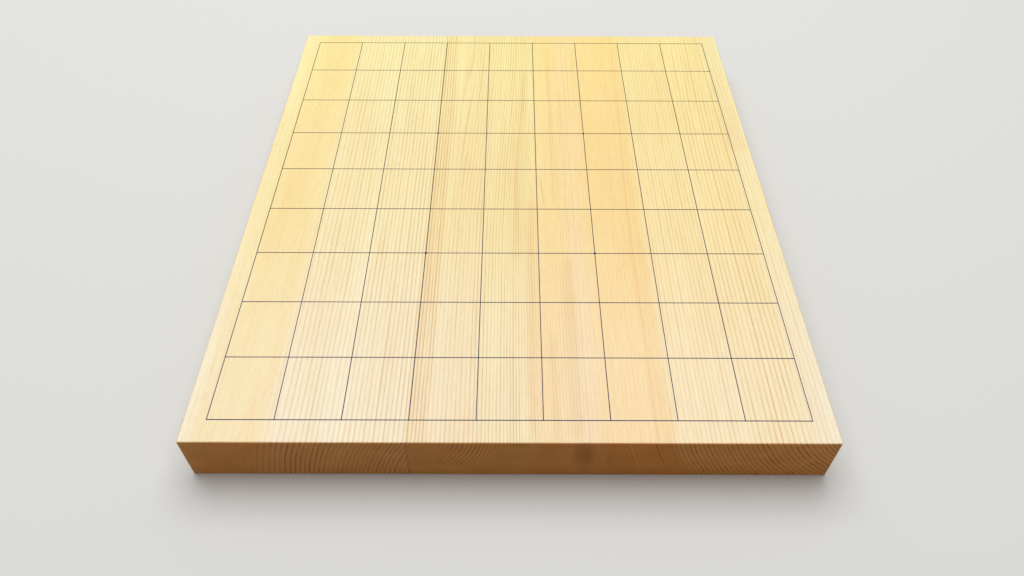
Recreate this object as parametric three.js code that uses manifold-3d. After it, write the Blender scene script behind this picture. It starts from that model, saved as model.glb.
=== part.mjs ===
// A tabletop shogi board: three spruce staves glued edge to edge into one slab, with a grid of
// lacquer strokes and four star points standing on its playing face.
// Millimetres, +Z up. The origin is the middle of the underside. +X is the near player's right,
// and +Y points away from the near player, along the grain.

import * as THREE from 'three';
import { mergeVertices } from 'three/addons/utils/BufferGeometryUtils.js';
import Module from 'manifold-3d';

const wasm = await Module();
wasm.setup();

// The grid, and the bare wood left between it and each edge of the slab
const cellWidth = 34.3;
const cellLength = 37.8;
const cellsAcross = 9;
const cellsAlong = 9;
const sideMargin = 12.15;
const nearMargin = 12.9;
const farMargin = 10.9;

// The slab's thickness, and the small round that eases its edges
const boardThickness = 33;
const arrisRadius = 0.8;
const cornerExtraRadius = 0.4;
const arrisSteps = 3;

// The staves, left to right as the near player sees them, and the glue between them
const leftStaveWidth = 114.4;
const middleStaveWidth = 92.1;
const glueThickness = 0.12;

// A stroke of lacquer: a low film, shouldered between its edge and its crown
const strokeWidth = 0.54;
const strokeHeight = 0.08;
const strokeOverrun = 0.1;
const shoulderWidthShare = 0.6;
const shoulderHeightShare = 0.75;
const crossingRiseShare = 0.6;

// A star point: a drop of lacquer over a crossing, three cells in from each edge of the grid
const starDiameter = 1.75;
const starHeight = 0.22;
const starCellsIn = 3;
const starSegments = 20;
const starRings = 3;

// The blocks that divide the slab run this far past it
const cutOverrun = 5;

const spruce = { color: 0xe9c48f, roughness: 0.55, metalness: 0 };
const driedGlue = { color: 0xb98a4e, roughness: 0.5, metalness: 0 };
const lacquer = { color: 0x1d2436, roughness: 0.35, metalness: 0 };

const gridWidth = cellsAcross * cellWidth;
const gridLength = cellsAlong * cellLength;
const gridOffsetAlong = (nearMargin - farMargin) / 2;
const boardWidth = gridWidth + 2 * sideMargin;
const boardLength = nearMargin + gridLength + farMargin;
const leftJoint = leftStaveWidth - boardWidth / 2;
const rightJoint = leftJoint + middleStaveWidth;

// Turns a closed three.js geometry into a solid that can be joined and cut.
function solidOf(geometry) {
  const bare = geometry.clone();
  bare.deleteAttribute('normal');
  bare.deleteAttribute('uv');
  const merged = mergeVertices(bare);
  const mesh = new wasm.Mesh({
    numProp: 3,
    vertProperties: new Float32Array(merged.attributes.position.array),
    triVerts: new Uint32Array(merged.index.array),
  });
  return new wasm.Manifold(mesh);
}

// Turns a solid back into a three.js geometry.
function geometryOf(solid) {
  const mesh = solid.getMesh();
  const geometry = new THREE.BufferGeometry();
  geometry.setAttribute('position', new THREE.BufferAttribute(mesh.vertProperties, mesh.numProp));
  geometry.setIndex(new THREE.BufferAttribute(mesh.triVerts, 1));
  geometry.computeVertexNormals();
  return geometry;
}

// Names a mesh and gives it its own material.
function piece(name, geometry, finish) {
  const mesh = new THREE.Mesh(geometry, new THREE.MeshStandardMaterial(finish));
  mesh.name = name;
  return mesh;
}

// The slab seen from above, with its four upright edges rounded.
function slabOutline() {
  const radius = arrisRadius + cornerExtraRadius;
  const inX = boardWidth / 2 - radius;
  const inY = boardLength / 2 - radius;
  const quarter = Math.PI / 2;
  const outline = new THREE.Shape();
  outline.moveTo(-inX, -boardLength / 2);
  outline.absarc(inX, -inY, radius, -quarter, 0);
  outline.absarc(inX, inY, radius, 0, quarter);
  outline.absarc(-inX, inY, radius, quarter, 2 * quarter);
  outline.absarc(-inX, -inY, radius, 2 * quarter, 3 * quarter);
  return outline;
}

// The whole slab as it comes from the plane, with the edges of both faces rounded.
function planedSlab() {
  const slab = new THREE.ExtrudeGeometry(slabOutline(), {
    depth: boardThickness - 2 * arrisRadius,
    curveSegments: arrisSteps,
    bevelEnabled: true,
    bevelThickness: arrisRadius,
    bevelSize: arrisRadius,
    bevelOffset: -arrisRadius,
    bevelSegments: arrisSteps,
  });
  slab.translate(0, 0, arrisRadius);
  return solidOf(slab);
}

// The part of the slab that lies between two planes square to X. The block is drawn at its place
// and not moved there, so that neighbouring slices share one face to the last digit.
function sliceOf(slab, fromX, toX) {
  const pastY = boardLength / 2 + cutOverrun;
  const footprint = new THREE.Shape();
  footprint.moveTo(fromX, -pastY);
  footprint.lineTo(toX, -pastY);
  footprint.lineTo(toX, pastY);
  footprint.lineTo(fromX, pastY);
  const block = new THREE.ExtrudeGeometry(footprint, {
    depth: boardThickness + 2 * cutOverrun,
    bevelEnabled: false,
  });
  block.translate(0, 0, -cutOverrun);
  return geometryOf(slab.intersect(solidOf(block)));
}

// Three staves, and the two films of glue that hold them edge to edge.
function gluedSlab() {
  const group = new THREE.Group();
  const slab = planedSlab();
  const halfGlue = glueThickness / 2;
  const pastEdge = boardWidth / 2 + cutOverrun;
  const left = sliceOf(slab, -pastEdge, leftJoint - halfGlue);
  const middle = sliceOf(slab, leftJoint + halfGlue, rightJoint - halfGlue);
  const right = sliceOf(slab, rightJoint + halfGlue, pastEdge);
  group.add(piece('stave_left', left, spruce));
  group.add(piece('stave_middle', middle, spruce));
  group.add(piece('stave_right', right, spruce));
  const leftGlue = sliceOf(slab, leftJoint - halfGlue, leftJoint + halfGlue);
  const rightGlue = sliceOf(slab, rightJoint - halfGlue, rightJoint + halfGlue);
  group.add(piece('glue_line_left', leftGlue, driedGlue));
  group.add(piece('glue_line_right', rightGlue, driedGlue));
  return group;
}

// Half of a stroke's section, from edge to crown, as [distance from its middle, height].
const halfSection = [
  [strokeWidth / 2, 0],
  [(strokeWidth / 2) * shoulderWidthShare, strokeHeight * shoulderHeightShare],
  [0, strokeHeight],
];

// The steps of a stroke's bed where it climbs over one that it crosses, as [place along, height].
function bedOver(crossing) {
  const [edge, shoulder, crown] = halfSection;
  return [
    [crossing - edge[0], edge[1]],
    [crossing - shoulder[0], shoulder[1]],
    [crossing + crown[0], crown[1]],
    [crossing + shoulder[0], shoulder[1]],
    [crossing + edge[0], edge[1]],
  ];
}

// The corners of a stroke's section where its bed is at a given height, left to right. The film
// thins where it climbs: its edges follow the bed, and the rest lifts by a share of it.
function sectionOver(bed) {
  const [edge, shoulder, crown] = halfSection;
  const lift = bed * crossingRiseShare;
  return [
    [-edge[0], bed],
    [-shoulder[0], shoulder[1] + lift],
    [crown[0], crown[1] + lift],
    [shoulder[0], shoulder[1] + lift],
    [edge[0], bed],
  ];
}

// One stroke of lacquer along +Y, draped over every stroke that it crosses.
function strokeGeometry(start, end, crossings) {
  const stations = [[start, 0], ...crossings.flatMap(bedOver), [end, 0]];
  const rings = stations.map(([along, bed]) =>
    sectionOver(bed).map(([across, height]) => [across, along, height]),
  );
  const around = rings[0].length;
  const triangles = [];
  for (let ring = 0; ring + 1 < rings.length; ring += 1) {
    for (let corner = 0; corner < around; corner += 1) {
      const here = ring * around + corner;
      const beside = ring * around + ((corner + 1) % around);
      triangles.push(here, beside, here + around);
      triangles.push(beside, beside + around, here + around);
    }
  }
  const last = (rings.length - 1) * around;
  for (let corner = 1; corner + 1 < around; corner += 1) {
    triangles.push(0, corner + 1, corner);
    triangles.push(last, last + corner, last + corner + 1);
  }
  const geometry = new THREE.BufferGeometry();
  geometry.setAttribute('position', new THREE.Float32BufferAttribute(rings.flat(2), 3));
  geometry.setIndex(triangles);
  geometry.computeVertexNormals();
  return geometry;
}

// The places of the lines that bound a row of equal cells, centred on zero.
function linePlaces(cells, pitch) {
  return Array.from({ length: cells + 1 }, (_, line) => (line - cells / 2) * pitch);
}

// A bar along +Y with the section of a stroke, made as high as asked and run on below the face.
function channelBar(height) {
  const [edge, shoulder, crown] = halfSection;
  const fullness = height / strokeHeight;
  const section = new THREE.Shape();
  section.moveTo(-edge[0], -starHeight);
  section.lineTo(edge[0], -starHeight);
  section.lineTo(edge[0], edge[1]);
  section.lineTo(shoulder[0], shoulder[1] * fullness);
  section.lineTo(crown[0], crown[1] * fullness);
  section.lineTo(-shoulder[0], shoulder[1] * fullness);
  section.lineTo(-edge[0], edge[1]);
  const bar = new THREE.ExtrudeGeometry(section, { depth: 2 * starDiameter, bevelEnabled: false });
  bar.translate(0, 0, -starDiameter);
  bar.rotateX(Math.PI / 2);
  return bar;
}

// A drop of lacquer, channelled beneath for the two strokes that cross there.
function starGeometry() {
  const profile = [new THREE.Vector2(0, 0)];
  for (let ring = 0; ring < starRings; ring += 1) {
    const turn = (ring / starRings) * (Math.PI / 2);
    profile.push(new THREE.Vector2((starDiameter / 2) * Math.cos(turn), starHeight * Math.sin(turn)));
  }
  profile.push(new THREE.Vector2(0, starHeight));
  const drop = new THREE.LatheGeometry(profile, starSegments);
  drop.rotateX(Math.PI / 2);
  const fileChannel = channelBar(strokeHeight * (1 + crossingRiseShare));
  const rankChannel = channelBar(strokeHeight);
  rankChannel.rotateZ(-Math.PI / 2);
  return geometryOf(solidOf(drop).subtract(solidOf(fileChannel)).subtract(solidOf(rankChannel)));
}

// The crosswise strokes, which are drawn first and lie flat on the wood.
function rankLines(places) {
  const group = new THREE.Group();
  const reach = gridWidth / 2 + strokeWidth / 2;
  places.forEach((place, line) => {
    const stroke = piece(`rank_line_${line + 1}`, strokeGeometry(-reach, reach, []), lacquer);
    stroke.rotation.z = -Math.PI / 2;
    stroke.position.y = place;
    group.add(stroke);
  });
  return group;
}

// The lengthwise strokes, each drawn over all the crosswise ones.
function fileLines(places, crossings) {
  const group = new THREE.Group();
  const reach = gridLength / 2 + strokeWidth / 2 + strokeOverrun;
  places.forEach((place, line) => {
    const stroke = piece(`file_line_${line + 1}`, strokeGeometry(-reach, reach, crossings), lacquer);
    stroke.position.x = place;
    group.add(stroke);
  });
  return group;
}

// The four star points, near pair first.
function starPoints(filePlaces, rankPlaces) {
  const group = new THREE.Group();
  let count = 0;
  for (const rank of [starCellsIn, cellsAlong - starCellsIn]) {
    for (const file of [starCellsIn, cellsAcross - starCellsIn]) {
      count += 1;
      const star = piece(`star_point_${count}`, starGeometry(), lacquer);
      star.position.set(filePlaces[file], rankPlaces[rank], 0);
      group.add(star);
    }
  }
  return group;
}

// The whole drawing, in a group whose floor is the playing face.
function drawnGrid() {
  const filePlaces = linePlaces(cellsAcross, cellWidth);
  const rankPlaces = linePlaces(cellsAlong, cellLength);
  const group = new THREE.Group();
  group.add(rankLines(rankPlaces));
  group.add(fileLines(filePlaces, rankPlaces));
  group.add(starPoints(filePlaces, rankPlaces));
  group.position.set(0, gridOffsetAlong, boardThickness);
  return group;
}

const board = new THREE.Group();
board.name = 'shogi_board';
board.add(gluedSlab());
board.add(drawnGrid());

export default board;
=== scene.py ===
"""A tabletop shogi board in a plain studio: the finishes and the fine surface of every piece."""

import logging
import math
from collections.abc import Callable, Sequence
from dataclasses import dataclass, field
from enum import Enum

import bmesh
import bpy
from mathutils import Matrix, Vector


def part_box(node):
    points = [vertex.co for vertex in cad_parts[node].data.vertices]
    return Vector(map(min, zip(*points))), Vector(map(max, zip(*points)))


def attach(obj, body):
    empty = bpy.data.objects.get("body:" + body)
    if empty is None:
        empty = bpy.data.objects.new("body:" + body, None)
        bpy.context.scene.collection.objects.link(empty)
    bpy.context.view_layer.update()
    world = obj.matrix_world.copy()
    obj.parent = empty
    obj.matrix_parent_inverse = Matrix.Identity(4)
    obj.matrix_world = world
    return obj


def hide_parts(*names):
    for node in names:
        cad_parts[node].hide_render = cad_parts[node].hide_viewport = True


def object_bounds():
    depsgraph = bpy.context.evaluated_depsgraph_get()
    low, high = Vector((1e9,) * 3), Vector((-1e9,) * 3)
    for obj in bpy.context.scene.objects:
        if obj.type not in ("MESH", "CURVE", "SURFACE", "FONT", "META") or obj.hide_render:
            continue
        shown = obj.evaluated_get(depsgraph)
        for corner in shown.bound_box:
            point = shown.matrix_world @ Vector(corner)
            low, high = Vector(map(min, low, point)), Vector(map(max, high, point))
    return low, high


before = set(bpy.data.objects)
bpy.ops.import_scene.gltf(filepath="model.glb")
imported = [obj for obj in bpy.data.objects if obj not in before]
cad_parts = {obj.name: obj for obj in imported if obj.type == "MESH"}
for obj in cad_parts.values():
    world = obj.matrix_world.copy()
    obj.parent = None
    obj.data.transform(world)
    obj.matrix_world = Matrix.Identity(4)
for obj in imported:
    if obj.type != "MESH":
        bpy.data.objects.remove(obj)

cad_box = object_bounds()

PHOTO_WIDTH = 1024
BODY = "root"
# A millimetre, in metres.
MM = 0.001
# Places that are closer than this count as one.
FINE = 0.0001 * MM
# How far a whole step of a noise's seed moves it along X, Y and Z, in millimetres.
SEED_STEP = (37.1, 11.7, 53.3)
# A scale so large that a patch has no bound along that axis.
BOUNDLESS = 1e6
# The angle from which an edge stays sharp in the shading.
SHARP = math.radians(60)

log = logging.getLogger("shogi_board")

Colour = tuple[float, float, float]
Stops = Sequence[tuple[float, Colour]]
Profile = Sequence[tuple[float, float]]
Socket = bpy.types.NodeSocket
Value = float | Sequence[float] | Socket
Points = list[Vector]


class Slot(Enum):
    """The record's material slots."""

    SPRUCE = "spruce"
    GLUE = "dried_glue"
    LACQUER = "lacquer"


class Run(Enum):
    """Which way a stroke of the grid runs: the number of the axis along it."""

    RANK = 0
    FILE = 1


class Pace(Enum):
    """How a change goes from one level to the other."""

    SMOOTH = "SMOOTHSTEP"
    STEADY = "LINEAR"


class Kind(Enum):
    """What is picked in edit mode: the name of its list and of its select mode."""

    VERTICES = ("verts", "VERT")
    EDGES = ("edges", "EDGE")
    FACES = ("faces", "FACE")


def linear(value: int) -> float:
    """Turns one screen value from 0 to 255 into linear light from 0 to 1."""
    share = value / 255
    return share / 12.92 if share <= 0.04045 else ((share + 0.055) / 1.055) ** 2.4


def srgb(red: int, green: int, blue: int) -> Colour:
    """Turns a colour written as screen values from 0 to 255 into linear light."""
    return linear(red), linear(green), linear(blue)


@dataclass(frozen=True)
class Change:
    """A change of level while what is followed goes from start to end.

    Attributes:
        start: Where the change starts.
        end: Where it ends.
        low: The level at the start.
        high: The level at the end.
        pace: How it goes between them.
    """

    start: float
    end: float
    low: float = 0.0
    high: float = 1.0
    pace: Pace = Pace.SMOOTH


@dataclass(frozen=True)
class Pattern:
    """A noise in the material.

    Attributes:
        size: The size of its blotches along X, Y and Z, in millimetres.
        detail: How many finer layers it has.
        seed: Moves it, so that no two are alike.
    """

    size: tuple[float, float, float]
    detail: float
    seed: float


class Graph:
    """Adds shader nodes to one material or world and joins them."""

    # How a surface comes to face along an axis as its normal's part along that axis grows.
    turned = Change(0.25, 0.8)

    def __init__(self, owner: bpy.types.Material | bpy.types.World) -> None:
        """Empties the owner's node tree.

        Args:
            owner: The material or world that gets the nodes.
        """
        owner.use_nodes = True
        self.tree = owner.node_tree
        self.tree.nodes.clear()

    def add(self, kind: str, *values: Value, **settings: object) -> bpy.types.Node:
        """Adds a node, sets its properties and feeds its first inputs.

        Args:
            kind: The node's type, without its leading ShaderNode.
            values: What its first inputs get, in order.
            settings: Properties of the node by name.

        Returns:
            The new node.
        """
        node = self.tree.nodes.new("ShaderNode" + kind)
        for name, value in settings.items():
            setattr(node, name, value)
        for socket, value in zip(node.inputs, values):
            self.feed(socket, value)
        return node

    def feed(self, socket: Socket, value: Value) -> None:
        """Joins a socket to another, or sets its value.

        Args:
            socket: The input socket.
            value: An output socket, a number, a vector or a colour.
        """
        if isinstance(value, bpy.types.NodeSocket):
            self.tree.links.new(value, socket)
        else:
            socket.default_value = (*value, 1.0) if socket.type == "RGBA" else value

    def math(self, operation: str, *values: Value, clamp: bool = False) -> Socket:
        """Adds a Math node, whose result may be kept between 0 and 1."""
        return self.add("Math", *values, operation=operation, use_clamp=clamp).outputs[0]

    def vector(self, operation: str, first: Value, second: Value) -> Socket:
        """Adds a Vector Math node with a vector result."""
        return self.add("VectorMath", first, second, operation=operation).outputs[0]

    def length(self, vector: Value) -> Socket:
        """Measures a vector."""
        return self.add("VectorMath", vector, operation="LENGTH").outputs["Value"]

    def parts(self, vector: Value) -> list[Socket]:
        """Takes a vector apart into its X, Y and Z."""
        return list(self.add("SeparateXYZ", vector).outputs)

    def ease(self, value: Value, change: Change) -> Socket:
        """Gives the level that a change has reached where the followed value stands."""
        ends = (change.start, change.end, change.low, change.high)
        return self.add("MapRange", value, *ends, interpolation_type=change.pace.value).outputs[0]

    def places(self, left_edge: float = 0.0) -> tuple[Socket, Socket]:
        """Reads the places on a piece and which way its surface faces.

        Args:
            left_edge: The X that counts as 0, in metres.

        Returns:
            The places in millimetres, and the normals.
        """
        coordinates = self.add("TexCoord")
        shift = (-left_edge / MM, 0.0, 0.0)
        scale = (1 / MM, 1 / MM, 1 / MM)
        mapping = self.add("Mapping", coordinates.outputs["Object"], shift, (0.0, 0.0, 0.0), scale)
        return mapping.outputs[0], coordinates.outputs["Normal"]

    def facing(self, normal: Socket, axis: int) -> Socket:
        """Gives 1 where the surface faces along an axis, either way, and 0 where it doesn't."""
        return self.ease(self.math("ABSOLUTE", self.parts(normal)[axis]), self.turned)

    def noise(self, place: Value, pattern: Pattern, seed: float = 0.0) -> Socket:
        """Adds a noise.

        Args:
            place: Where it is read, in millimetres.
            pattern: The noise.
            seed: The piece's own part of the seed.

        Returns:
            The noise, from 0 to 1 about a middle of 0.5.
        """
        seed += pattern.seed
        moved = self.vector("ADD", place, [step * seed for step in SEED_STEP])
        node = self.add("TexNoise", self.vector("DIVIDE", moved, pattern.size), noise_dimensions="3D")
        node.inputs["Scale"].default_value = 1.0
        node.inputs["Detail"].default_value = pattern.detail
        return node.outputs[0]

    def ramp(self, value: Value, stops: Stops) -> Socket:
        """Adds a colour ramp.

        Args:
            value: What is followed, from 0 to 1.
            stops: Each stop's position and colour, in rising order.

        Returns:
            The colour.
        """
        node = self.add("ValToRGB", value)
        elements = node.color_ramp.elements
        while len(elements) > 1:
            elements.remove(elements[-1])
        elements[0].position = stops[0][0]
        elements[0].color = (*stops[0][1], 1.0)
        for position, colour in stops[1:]:
            elements.new(position).color = (*colour, 1.0)
        return node.outputs[0]

    def profile(self, value: Value, profile: Profile) -> Socket:
        """Gives the level of a profile where the followed value stands, from 0 to 1."""
        return self.ramp(value, [(position, (level, level, level)) for position, level in profile])

    def mix(self, share: Value, first: Value, second: Value, blend: str = "MIX") -> Socket:
        """Mixes two colours.

        Args:
            share: How much of the second shows, from 0 to 1.
            first: The first colour.
            second: The second colour.
            blend: How the second is laid on the first.

        Returns:
            The mixed colour.
        """
        node = self.add("Mix", share, data_type="RGBA", blend_type=blend)
        self.feed(node.inputs[6], first)
        self.feed(node.inputs[7], second)
        return node.outputs[2]

    def tinted(self, colour: Value, tint: Value, share: Value = 1.0) -> Socket:
        """Multiplies a colour by a tint, as far as the share says."""
        return self.mix(share, colour, tint, "MULTIPLY")

    def bump(self, height: Value, strength: float, depth: float) -> Socket:
        """Bumps the surface's normal.

        Args:
            height: The relief, from 0 to 1.
            strength: How strongly it shows.
            depth: How deep its full height is, in millimetres.

        Returns:
            The bumped normal.
        """
        node = self.add("Bump")
        for name, value in (("Strength", strength), ("Distance", depth * MM), ("Height", height)):
            self.feed(node.inputs[name], value)
        return node.outputs[0]

    def surface(self, shader: Socket, output: str = "OutputMaterial") -> None:
        """Sends a shader to the surface of the material or the world."""
        self.add(output, shader)

    def coat(self, inputs: dict[str, Value]) -> None:
        """Gives the material a Principled shader.

        Args:
            inputs: What the shader's inputs get, by name.
        """
        shader = self.add("BsdfPrincipled")
        for name, value in inputs.items():
            self.feed(shader.inputs[name], value)
        self.surface(shader.outputs[0])


@dataclass(frozen=True)
class Growth:
    """How the rings run where they meet the playing face at one place.

    Attributes:
        place: Millimetres from the board's left edge.
        spacing: Millimetres from ring to ring along the face.
        contrast: How much darker the late wood is, as a share of its usual depth.
        redness: How far the late wood turns from brown to red, from 0 to 1.
        end: How strongly the rings' edges show on the end grain.
        tint: The colour of the early wood.
    """

    place: float
    spacing: float
    contrast: float
    redness: float
    end: float
    tint: Colour

    def strengths(self) -> Colour:
        """Packs half the contrast, the redness and half the end grain's contrast as a colour."""
        return self.contrast / 2, self.redness, self.end / 2


@dataclass(frozen=True)
class Streak:
    """A single mark in the wood, such as a resin streak.

    Attributes:
        place: Millimetres from the board's left edge, at the mark's near end.
        near: Where it starts, in millimetres from the middle of the board.
        far: Where it ends.
        width: Its whole width in millimetres.
        strength: How strongly it shows, from 0 to 1.
        slant: Millimetres that it runs to the right per millimetre away from the near player.
    """

    place: float
    near: float
    far: float
    width: float
    strength: float
    slant: float = 0.0


@dataclass(frozen=True)
class Drift:
    """Where the grain runs out of line with the joints.

    Attributes:
        reach: How far to the right the grain has moved at the far end, in millimetres.
        near: Where it starts to move, in millimetres from the middle of the board.
        far: Where it has moved all the way.
        left: Where, from the board's left edge, the grain is still straight.
        full_left: Where it moves fully.
        full_right: Where it last moves fully.
        right: Where it is straight again.
    """

    reach: float
    near: float
    far: float
    left: float
    full_left: float
    full_right: float
    right: float


@dataclass(frozen=True)
class Stain:
    """A dark patch on the near end grain.

    Attributes:
        place: Its middle, in millimetres from the board's left edge.
        height: Its middle, in millimetres above the underside.
        width: How far it spreads to each side.
        tall: How far it spreads up and down.
        strength: How strongly it shows, from 0 to 1.
    """

    place: float
    height: float
    width: float
    tall: float
    strength: float


@dataclass(frozen=True)
class Timber:
    """One stave as it was sawn from its log.

    Attributes:
        pith_across: The log's heart, in millimetres from the board's left edge.
        pith_up: The log's heart, in millimetres above the underside.
        growth: The rings from left to right.
        ring_shift: Moves all the rings by this share of one.
        seed: Keeps its noises apart from the other staves'.
        stains: The dark patches on its near end.
        drifts: Where the grain runs out of line.
        streaks: The single marks in it.
    """

    pith_across: float
    pith_up: float
    growth: tuple[Growth, ...]
    ring_shift: float
    seed: float
    stains: tuple[Stain, ...]
    drifts: tuple[Drift, ...] = ()
    streaks: tuple[Streak, ...] = ()

    def radius(self, place: float, height: float) -> float:
        """Gives the distance from the log's heart to a place and height, in millimetres."""
        return math.hypot(place - self.pith_across, height - self.pith_up)

    def reach(self) -> tuple[float, float]:
        """Gives the least and greatest distance from the heart that the stave holds.

        Returns:
            The least and the greatest distance, with a margin, in millimetres.
        """
        margin = 3.0
        top = cad_box[1][2] / MM
        ends = (self.growth[0].place, self.growth[-1].place)
        found = [self.radius(place, height) for place in ends for height in (0.0, top)]
        return min(found) - margin, max(found) + margin

    def by_radius(self) -> list[tuple[float, Growth]]:
        """Pairs each place of the growth with its distance from the heart.

        Returns:
            The distance and the growth of each, inner ones first.
        """
        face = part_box("stave_left")[1][2] / MM
        pairs = [(self.radius(growth.place, face), growth) for growth in self.growth]
        return sorted(pairs, key=lambda pair: pair[0])

    def stops(self, read: Callable[[Growth], Colour]) -> Stops:
        """Lays out something of the growth along the distance from the heart.

        Args:
            read: Takes the growth at one place and gives three numbers of it.

        Returns:
            The stops of a ramp over the stave's reach.
        """
        nearest, farthest = self.reach()
        width = farthest - nearest
        return [((radius - nearest) / width, read(growth)) for radius, growth in self.by_radius()]


# Tints of the early wood.
CREAM = srgb(251, 231, 177)
PALE = srgb(251, 233, 179)
PEACH = srgb(250, 226, 160)
HONEY = srgb(250, 217, 147)
STRAW = srgb(249, 228, 165)
TAN = srgb(248, 225, 165)
ROSE = srgb(249, 221, 162)
AMBER = srgb(250, 221, 154)
SAND = srgb(249, 228, 171)
WHEAT = srgb(252, 228, 165)

# The dark patch round the right joint, which shows on both of its staves.
JOINT_STAIN = Stain(204.0, 22.0, 8.0, 17.0, 0.75)

# Each stave's rings are given from left to right, as they look on the playing face.
TIMBERS = {
    "stave_left": Timber(
        pith_across=200.0,
        pith_up=-18.0,
        growth=(
            Growth(0.0, 3.4, 0.12, 0.0, 0.05, PALE),
            Growth(10.0, 3.4, 0.12, 0.0, 0.05, STRAW),
            Growth(15.0, 3.4, 0.05, 0.0, 0.05, PEACH),
            Growth(39.0, 3.4, 0.08, 0.1, 0.15, PEACH),
            Growth(48.0, 3.2, 0.60, 0.1, 1.00, CREAM),
            Growth(62.0, 2.65, 0.90, 0.2, 1.00, CREAM),
            Growth(77.0, 2.60, 0.80, 0.1, 0.90, PALE),
            Growth(90.0, 2.50, 1.10, 0.1, 0.90, CREAM),
            Growth(103.0, 2.45, 1.10, 0.1, 1.00, CREAM),
            Growth(114.0, 2.45, 1.05, 0.1, 0.90, PALE),
        ),
        ring_shift=0.2,
        streaks=(Streak(28.0, -100.0, 190.0, 28.0, 0.07),),
        stains=(Stain(114.4, 16.0, 1.2, 30.0, 0.6),),
        seed=1.0,
    ),
    "stave_middle": Timber(
        pith_across=104.0,
        pith_up=39.0,
        growth=(
            Growth(114.6, 1.95, 1.9, 0.6, 0.90, TAN),
            Growth(124.4, 1.95, 1.7, 0.5, 0.80, TAN),
            Growth(126.0, 2.40, 0.6, 0.1, 0.40, SAND),
            Growth(137.0, 2.40, 0.9, 0.2, 0.70, TAN),
            Growth(146.0, 2.20, 1.0, 0.4, 1.20, TAN),
            Growth(153.0, 2.00, 0.95, 0.2, 1.30, STRAW),
            Growth(163.0, 1.80, 1.0, 0.3, 0.60, STRAW),
            Growth(167.0, 1.60, 1.4, 0.6, 0.15, STRAW),
            Growth(170.5, 1.60, 1.2, 0.6, 0.15, STRAW),
            Growth(173.0, 1.60, 0.5, 0.3, 0.10, STRAW),
            Growth(176.0, 1.60, 0.7, 0.7, 0.10, STRAW),
            Growth(179.0, 1.60, 0.8, 0.8, 0.10, PEACH),
            Growth(182.5, 1.70, 0.4, 0.4, 0.05, AMBER),
            Growth(188.0, 1.70, 0.35, 0.4, 0.05, AMBER),
            Growth(197.0, 1.65, 0.6, 0.6, 0.10, AMBER),
            Growth(206.5, 1.65, 0.5, 0.4, 0.10, ROSE),
        ),
        ring_shift=0.2,
        drifts=(Drift(9.5, -45.0, 175.0, 126.0, 140.0, 181.0, 190.0),),
        streaks=(
            Streak(168.4, -182.0, 0.0, 1.8, 0.18),
            Streak(172.5, -60.0, 60.0, 8.0, 0.13),
            Streak(168.4, 0.0, 130.0, 2.8, 0.29),
            Streak(178.6, -182.0, -10.0, 7.0, 0.17),
            Streak(194.4, -12.0, 142.0, 3.0, 0.20),
            Streak(188.2, -14.0, 10.0, 2.4, 0.36, -0.10),
            Streak(200.5, -182.0, -60.0, 10.0, 0.20),
            Streak(190.5, -182.0, -120.0, 6.0, 0.16),
        ),
        stains=(JOINT_STAIN, Stain(171.0, 33.0, 7.0, 7.0, 0.4)),
        seed=2.0,
    ),
    "stave_right": Timber(
        pith_across=385.0,
        pith_up=70.0,
        growth=(
            Growth(206.6, 2.2, 0.25, 0.2, 0.10, ROSE),
            Growth(218.0, 2.4, 0.20, 0.2, 0.25, HONEY),
            Growth(225.2, 2.4, 0.20, 0.2, 0.20, HONEY),
            Growth(226.4, 2.4, 0.20, 0.2, 1.60, HONEY),
            Growth(227.6, 2.4, 0.20, 0.2, 0.20, HONEY),
            Growth(238.8, 2.4, 0.20, 0.2, 0.20, HONEY),
            Growth(240.0, 2.4, 0.25, 0.2, 1.00, HONEY),
            Growth(241.2, 2.4, 0.20, 0.2, 0.20, HONEY),
            Growth(247.0, 2.4, 0.25, 0.2, 0.30, HONEY),
            Growth(251.5, 2.3, 0.45, 0.1, 0.90, WHEAT),
            Growth(262.0, 2.35, 0.75, 0.1, 1.00, WHEAT),
            Growth(272.0, 2.35, 0.75, 0.2, 0.90, WHEAT),
            Growth(284.0, 2.4, 0.80, 0.1, 1.00, WHEAT),
            Growth(303.0, 2.8, 0.90, 0.1, 1.10, WHEAT),
            Growth(316.0, 2.8, 0.85, 0.2, 1.10, WHEAT),
            Growth(323.0, 2.6, 0.55, 0.1, 1.10, CREAM),
            Growth(333.0, 2.6, 0.45, 0.1, 1.10, PALE),
        ),
        ring_shift=0.5,
        drifts=(
            Drift(7.0, -20.0, 160.0, 208.0, 222.0, 240.0, 256.0),
            Drift(4.0, 30.0, 182.0, 284.0, 300.0, 308.0, 318.0),
        ),
        streaks=(
            Streak(240.6, -182.0, 182.0, 0.8, 0.4, 0.004),
            Streak(303.0, -182.0, 182.0, 0.9, 0.55),
            Streak(316.2, 20.0, 182.0, 1.2, 0.5),
            Streak(325.0, 40.0, 190.0, 20.0, 0.16),
            Streak(266.0, -60.0, 190.0, 44.0, 0.06),
        ),
        stains=(JOINT_STAIN, Stain(218.0, 18.0, 3.0, 12.0, 0.3)),
        seed=3.0,
    ),
}


@dataclass(frozen=True)
class Wander:
    """How the rings stray from their true line.

    Attributes:
        pattern: The noise that they follow.
        reach: How far they stray to either side, in millimetres.
    """

    pattern: Pattern
    reach: float


@dataclass(frozen=True)
class Variation:
    """An uneven tint that the wood's colour is multiplied by.

    Attributes:
        pattern: The noise that it follows.
        stops: The tints for rising levels of the noise.
    """

    pattern: Pattern
    stops: Stops


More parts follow.
